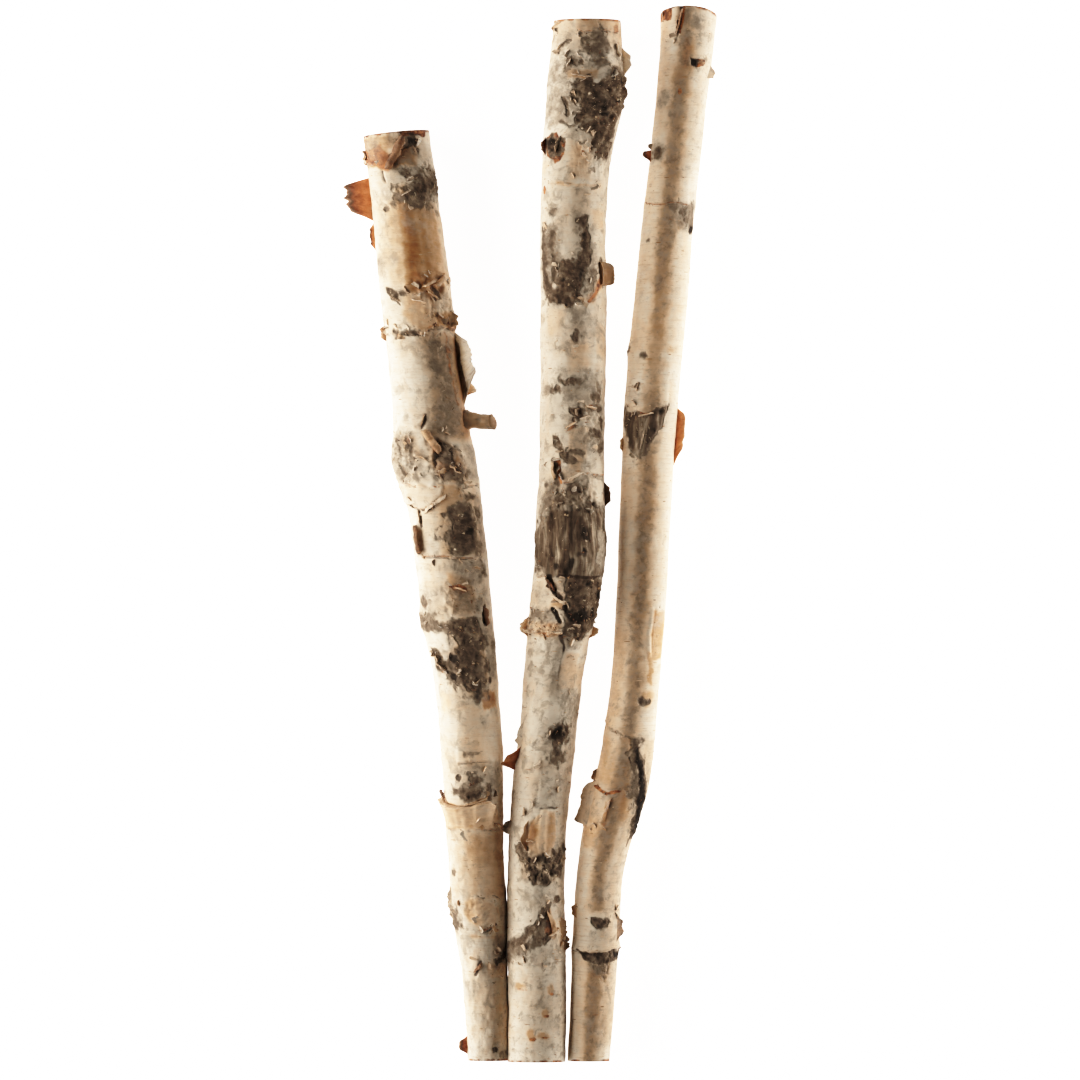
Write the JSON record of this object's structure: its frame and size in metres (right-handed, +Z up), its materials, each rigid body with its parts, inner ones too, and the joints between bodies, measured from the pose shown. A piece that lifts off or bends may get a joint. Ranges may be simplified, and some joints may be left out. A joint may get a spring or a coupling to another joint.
{
  "type": "bundle of birch logs",
  "caption": "Slim birch logs lying side by side, fanned out towards the head, with knots, dark bark scars, layered white bark and curled peels.",
  "frame": {"origin": "under the middle of the bundle's box, on the surface it lies on", "axes": "+Y along the logs from the foot cuts to the head cuts, +X across the bundle towards the slimmest log, +Z up"},
  "size_m": [0.3382, 0.9498, 0.0782],
  "materials": {
    "birch_bark": "matt papery bark, white to tan, with near-black scars and rust-brown peels"
  },
  "bodies": {
    "root": {"left_log": "birch_bark", "middle_log": "birch_bark", "right_log": "birch_bark"}
  },
  "joints": []
}
